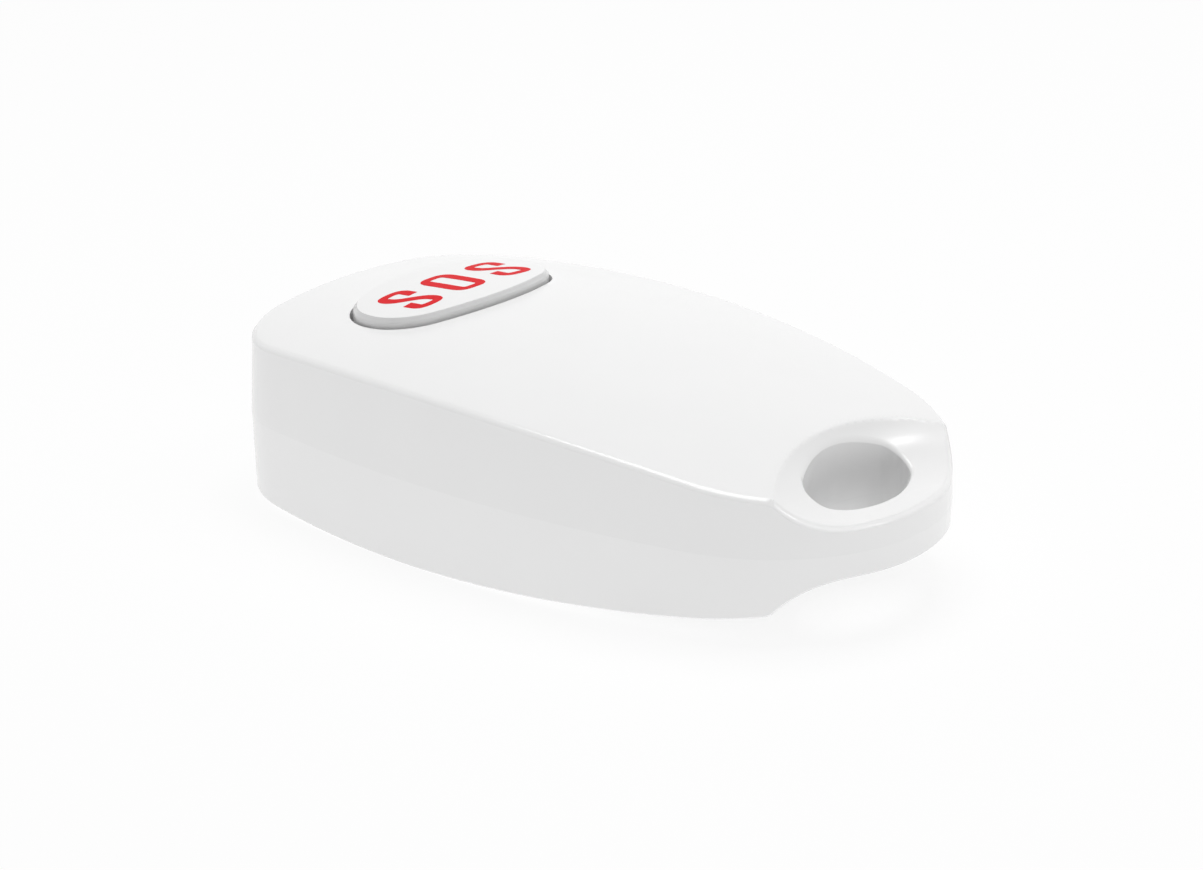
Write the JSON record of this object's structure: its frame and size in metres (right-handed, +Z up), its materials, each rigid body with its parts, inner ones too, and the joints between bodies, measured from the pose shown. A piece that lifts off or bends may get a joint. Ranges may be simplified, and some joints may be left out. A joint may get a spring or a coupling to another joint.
{
  "type": "wireless panic button",
  "caption": "Small white key-ring fob with a domed case, an oval push button and a scooped end pierced by an oval strap hole.",
  "frame": {"origin": "middle of the fob's outline at the lowest point of its underside", "axes": "+X across the fob, +Y along it away from the strap hole and towards the button, +Z up through the button's face"},
  "size_m": [0.034, 0.06, 0.0172],
  "materials": {
    "case": "satin",
    "key": "satin",
    "board": "satin",
    "switch_body": "matte",
    "plunger": "satin",
    "tinned_steel": "satin",
    "spring_steel": "satin",
    "cell": "satin",
    "chip_body": "matte",
    "copper": "satin",
    "lamp_lens": "clear",
    "capacitor": "matte",
    "screw": "satin"
  },
  "bodies": {
    "case": {"upper_shell": "case", "lower_shell": "case", "circuit_board": "board", "switch_base": "switch_body", "switch_cover": "tinned_steel", "switch_dome": "spring_steel", "switch_terminals": "tinned_steel", "coin_cell": "cell", "battery_clip": "spring_steel", "battery_contact": "spring_steel", "radio_chip": "chip_body", "control_chip": "chip_body", "crystal": "tinned_steel", "loop_antenna": "copper", "status_lamp": "lamp_lens", "chip_capacitors": "capacitor", "chip_resistors": "chip_body", "chip_coils": "capacitor", "case_screws": "screw"},
    "button": {"button_cap": "key"},
    "plunger": {"switch_plunger": "plunger"}
  },
  "joints": [
    {"name": "button_press", "type": "slide", "parent": "case", "child": "button", "axis": [0, 0, -1], "range_m": [0, 0.0003], "stiffness_N_per_m": 900},
    {"name": "plunger_travel", "type": "slide", "parent": "case", "child": "plunger", "axis": [0, 0, -1], "range_m": [0, 0.0003], "deforming": ["switch_dome"]}
  ],
  "couplings": [
    {"joint": "plunger_travel", "follows": "button_press", "ratio": 1}
  ]
}
